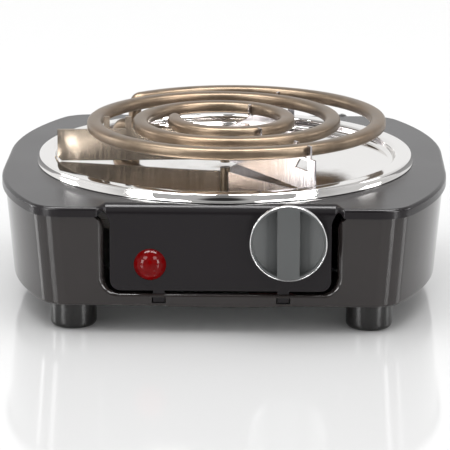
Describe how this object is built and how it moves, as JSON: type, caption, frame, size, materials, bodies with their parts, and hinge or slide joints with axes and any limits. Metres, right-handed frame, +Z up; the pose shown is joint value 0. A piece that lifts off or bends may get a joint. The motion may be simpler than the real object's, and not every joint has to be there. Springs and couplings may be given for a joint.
{
  "type": "electric hot plate",
  "caption": "Portable electric hot plate: spiral heating coil on support arms over a chrome drip pan, black sheet-steel body, thermostat knob, indicator lamp and rubber feet.",
  "frame": {"origin": "on the table, under the centre of the drip pan and coil", "axes": "+Z up, the front with the knob faces -Y, +X to the user's right"},
  "size_m": [0.2174, 0.2118, 0.0847],
  "materials": {
    "cover_black": "semi-gloss",
    "housing_black": "gloss",
    "zinc_steel": "satin",
    "shield_aluminium": "satin",
    "pan_chrome": "polished",
    "coil_sheath": "oxidised satin",
    "arm_steel": "satin",
    "ceramic_white": "matte",
    "bright_steel": "bright",
    "contact_brass": "satin",
    "knob_grey": "satin",
    "ring_silver": "bright",
    "lens_red": "translucent gloss",
    "lamp_glass": "clear",
    "black_rubber": "satin",
    "block_plastic": "matte",
    "sleeve_black": "satin",
    "sleeve_red": "satin",
    "sleeve_white": "satin"
  },
  "bodies": {
    "base": {"top_cover": "cover_black", "lower_housing": "housing_black", "base_plate": "zinc_steel", "heat_shield": "shield_aluminium", "drip_pan": "pan_chrome", "hinge_bracket": "zinc_steel", "hinge_pin": "bright_steel", "thermostat_frame": "zinc_steel", "thermostat_screws": "bright_steel", "thermostat_stack": "ceramic_white", "stack_rivet": "contact_brass", "contact_blades": "contact_brass", "indicator_lens": "lens_red", "lens_clip": "bright_steel", "indicator_lamp": "lamp_glass", "cord_bushing": "black_rubber", "terminal_block": "block_plastic", "terminal_screws": "contact_brass", "wire_supply": "sleeve_black", "wire_switched": "sleeve_red", "wire_lamp_feed": "sleeve_white", "wire_lamp_return": "sleeve_white", "foot_front_left": "black_rubber", "foot_front_right": "black_rubber", "foot_back_left": "black_rubber", "foot_back_right": "black_rubber", "foot_screws": "bright_steel", "foot_nuts": "bright_steel", "cover_screws": "zinc_steel"},
    "knob_body": {"knob": "knob_grey", "knob_ring": "ring_silver", "control_shaft": "bright_steel", "shaft_clip": "bright_steel"},
    "coil_body": {"heating_coil": "coil_sheath", "coil_leads": "coil_sheath", "lead_seals": "ceramic_white", "terminal_pins": "bright_steel", "support_arm_left": "arm_steel", "support_arm_front": "arm_steel", "support_arm_back": "arm_steel", "support_hub": "arm_steel", "coil_bracket": "zinc_steel"}
  },
  "joints": [
    {"name": "knob_turn", "type": "hinge", "parent": "base", "child": "knob_body", "pos_m": [0.0318, -0.1, 0.047], "axis": [0, 1, 0], "range_deg": [0, 270]},
    {"name": "coil_lift", "type": "hinge", "parent": "base", "child": "coil_body", "pos_m": [-0.06989, 0.07192, 0.0475], "axis": [-0.8192, -0.5736, 0], "range_deg": [0, 10]}
  ]
}
